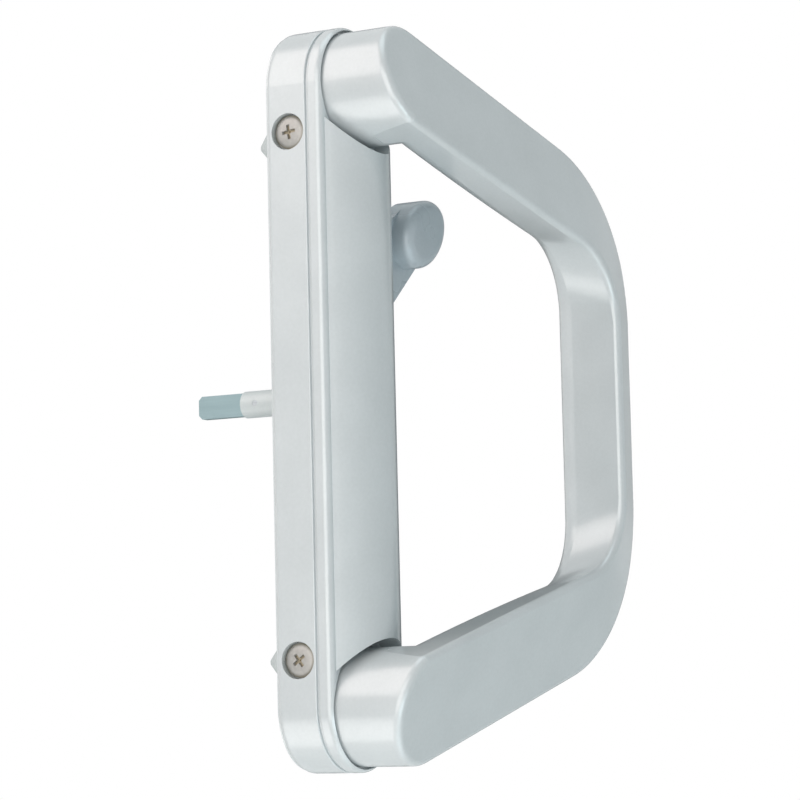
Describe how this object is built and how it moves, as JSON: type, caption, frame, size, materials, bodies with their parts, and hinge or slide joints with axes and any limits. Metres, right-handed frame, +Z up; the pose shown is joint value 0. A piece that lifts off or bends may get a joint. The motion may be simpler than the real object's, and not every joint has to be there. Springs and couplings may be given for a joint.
{
  "type": "sliding patio door handle",
  "caption": "Sliding patio door pull: narrow domed body with a cranked D grip to one side, a thumb snib inside the D and a drive tang behind it for the lock.",
  "frame": {"origin": "middle of the back face, which lies on the door, on the axis of the drive tang and midway between the mounting posts", "axes": "+Z up the door, -Y out of the door towards the user, +X to the user's right, the side that the grip is cranked to"},
  "size_m": [0.1127, 0.0822, 0.191],
  "materials": {
    "silver_casting": "satin silver powder coat on die-cast aluminium",
    "post_casting": "satin silver powder coat on die-cast aluminium",
    "snib_grey": "satin grey powder coat on die-cast aluminium",
    "nickel_screw": "dull nickel plate",
    "hub_casting": "plain die-cast zinc, satin",
    "tang_zinc": "blue passivated zinc plate",
    "zinc_steel": "zinc plate",
    "spring_steel": "oiled spring steel"
  },
  "bodies": {
    "body": {"rear_housing": "silver_casting", "front_cover": "silver_casting", "pull_handle": "silver_casting", "handle_screws": "zinc_steel", "lock_washers": "spring_steel", "mounting_posts": "post_casting", "side_screws": "nickel_screw", "snib_pivot_pin": "zinc_steel", "snib_clip": "spring_steel", "snib_thrust_washer": "spring_steel", "hub_spring_washer": "spring_steel", "hub_keeper": "zinc_steel", "keeper_screws": "zinc_steel"},
    "snib": {"snib_lever": "snib_grey", "upper_link_pin": "zinc_steel", "upper_link_clip": "spring_steel"},
    "link": {"link_bar": "zinc_steel"},
    "spindle": {"spindle_hub": "hub_casting", "drive_tang": "tang_zinc", "tang_pin": "spring_steel", "lower_link_pin": "zinc_steel", "lower_link_clip": "spring_steel"}
  },
  "joints": [
    {"name": "snib_turn", "type": "hinge", "parent": "body", "child": "snib", "pos_m": [0, -0.0132, 0.024], "axis": [0, -1, 0], "range_deg": [-60, 0]},
    {"name": "spindle_turn", "type": "hinge", "parent": "body", "child": "spindle", "pos_m": [0, 0, 0], "axis": [0, -1, 0], "range_deg": [-60, 0]},
    {"name": "link_swing", "type": "hinge", "parent": "snib", "child": "link", "pos_m": [-0.00779, -0.0069, 0.0195], "axis": [0, -1, 0], "range_deg": [0, 60]}
  ],
  "couplings": [
    {"joint": "spindle_turn", "follows": "snib_turn", "ratio": 1},
    {"joint": "link_swing", "follows": "snib_turn", "ratio": -1}
  ]
}
